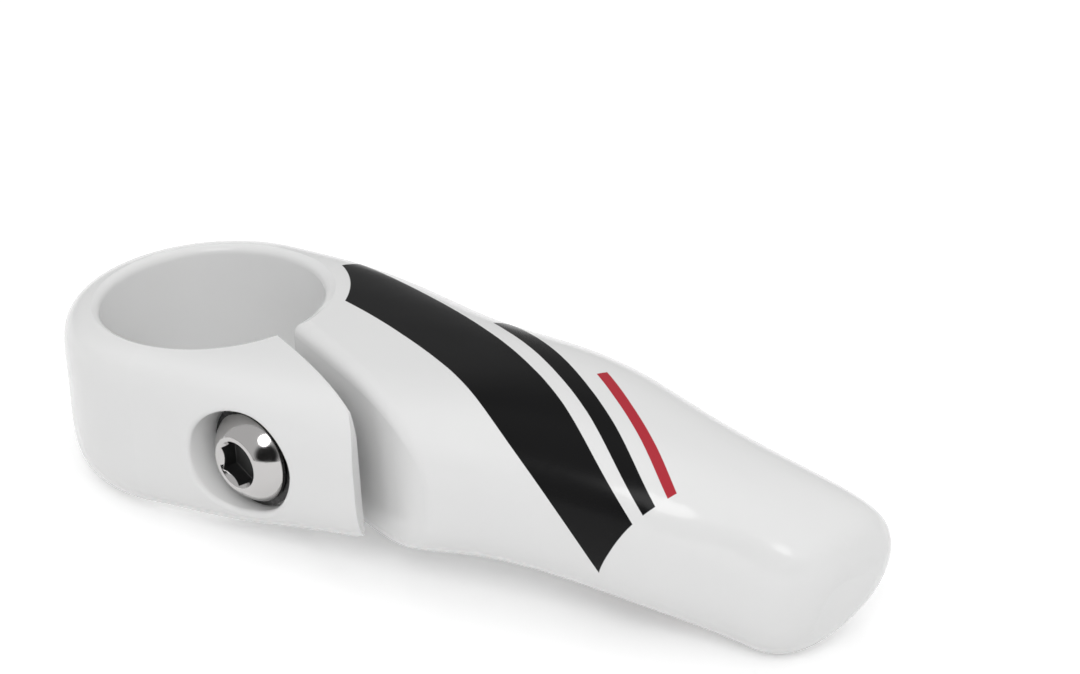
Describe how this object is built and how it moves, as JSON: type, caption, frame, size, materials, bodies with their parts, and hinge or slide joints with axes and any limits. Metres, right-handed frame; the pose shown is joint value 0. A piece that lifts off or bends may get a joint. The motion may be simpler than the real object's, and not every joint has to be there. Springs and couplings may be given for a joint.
{
  "type": "bicycle bar end",
  "caption": "Short painted bicycle bar end: a split clamp ring with a bolted tab flows into a tapering arm that dips to a rounded tip.",
  "frame": {"origin": "on the axis of the handlebar bore, at the middle of the clamp ring's width", "axes": "+Z along the handlebar bore, the arm runs out along +X turned a little towards +Y, and the clamp bolt's head faces -Y"},
  "size_m": [0.0829, 0.0374, 0.0242],
  "materials": {
    "paint": "gloss white paint with dark stripes",
    "bolt_steel": "bright plated",
    "washer_steel": "satin plated"
  },
  "bodies": {
    "root": {"body": "paint", "clamp_bolt": "bolt_steel", "washer": "washer_steel"}
  },
  "joints": []
}
